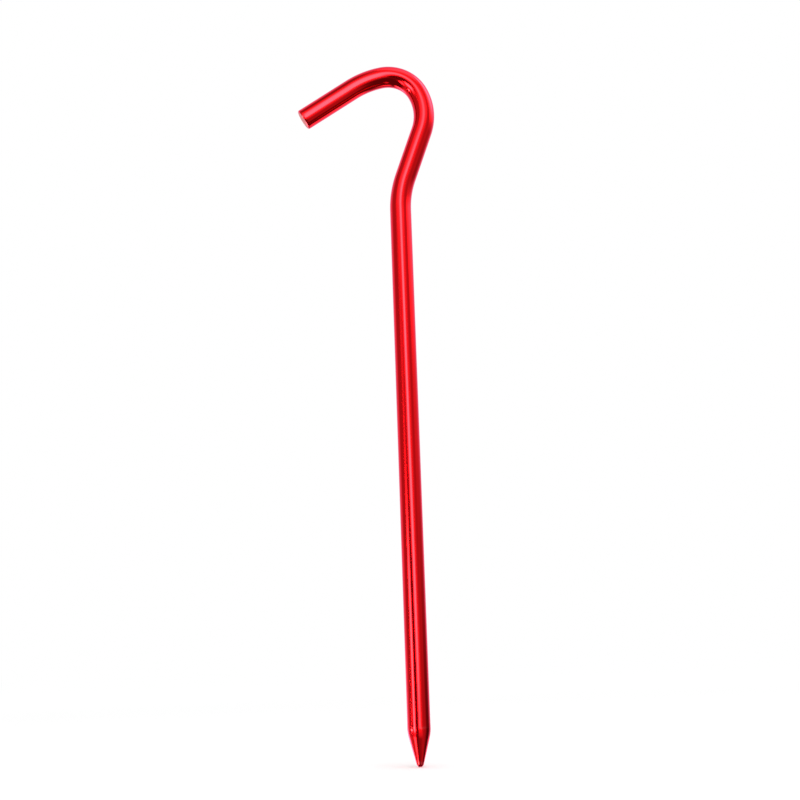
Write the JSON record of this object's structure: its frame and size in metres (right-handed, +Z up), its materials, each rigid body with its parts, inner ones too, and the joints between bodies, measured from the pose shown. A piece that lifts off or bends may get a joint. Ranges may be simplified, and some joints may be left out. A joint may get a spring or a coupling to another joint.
{
  "type": "tent stake",
  "caption": "Tent stake bent from one round rod: straight shaft, leaning neck, open line hook over the shaft, and a blunt cone point at the foot.",
  "frame": {"origin": "on the straight shaft's axis at the ground line, 8 mm below the start of the neck bend", "axes": "+Z up along the straight shaft, with the point down; the hook lies in the XZ plane, its neck leans to +X and its mouth opens to -X; Y is across the rod"},
  "size_m": [0.036, 0.0054, 0.1788],
  "materials": {
    "anodised_rod": "drawn round rod, red anodised, glossy"
  },
  "bodies": {
    "root": {"stake": "anodised_rod"}
  },
  "joints": []
}
